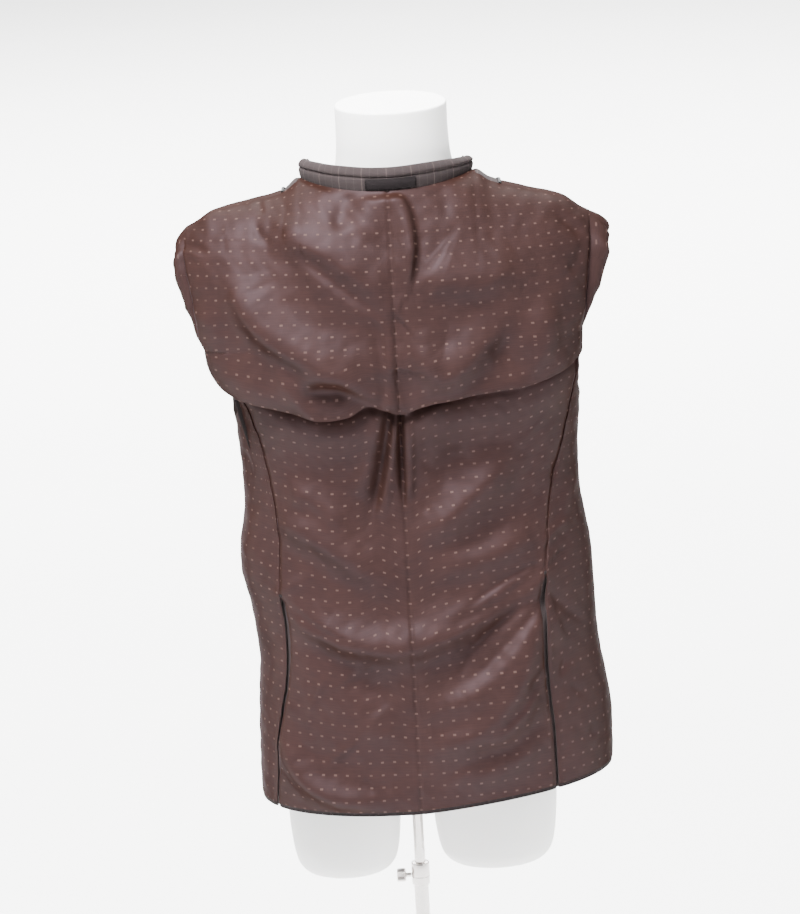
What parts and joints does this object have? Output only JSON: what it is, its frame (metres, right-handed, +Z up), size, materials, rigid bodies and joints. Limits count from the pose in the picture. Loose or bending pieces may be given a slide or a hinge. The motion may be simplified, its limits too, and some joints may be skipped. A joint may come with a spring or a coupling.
{
  "type": "inside-out sport coat on a limbless dress form with stand",
  "caption": "Tailored sport coat turned inside out, lining outermost, worn by a smooth limbless torso form on a rod stand with a round foot.",
  "frame": {"origin": "centre of the foot's underside, under the rod, on the floor", "axes": "+Z up along the rod; +Y towards the form's chest, so the coat's back faces -Y; +X towards the form's right side"},
  "size_m": [0.4738, 0.33, 1.5572],
  "materials": {
    "lining_satin": "satin lining with small woven dots",
    "wool": "matt worsted wool with fine stripes",
    "dark_trim": "matt dark trim",
    "button_horn": "semi-gloss dark horn",
    "form_shell": "smooth off-white",
    "plated_steel": "bright plated steel"
  },
  "bodies": {
    "stand": {"tube": "plated_steel", "clamp": "plated_steel", "clamp_screw": "plated_steel", "base": "plated_steel"},
    "dressed_form": {"form": "form_shell", "rod": "plated_steel", "collar": "wool", "label": "dark_trim", "button_top": "button_horn", "button_low": "button_horn", "back_left": "lining_satin", "side_left": "lining_satin", "front_left": "lining_satin", "facing_left": "wool", "lapel_left": "wool", "piping_left": "dark_trim", "sleeve_top_left": "lining_satin", "sleeve_under_left": "lining_satin", "vent_flap_left": "wool", "back_right": "lining_satin", "side_right": "lining_satin", "front_right": "lining_satin", "facing_right": "wool", "lapel_right": "wool", "piping_right": "dark_trim", "sleeve_top_right": "lining_satin", "sleeve_under_right": "lining_satin", "vent_flap_right": "wool"}
  },
  "joints": [
    {"name": "stand_height", "type": "slide", "parent": "stand", "child": "dressed_form", "axis": [0, 0, 1], "range_m": [0, 0.25]}
  ]
}
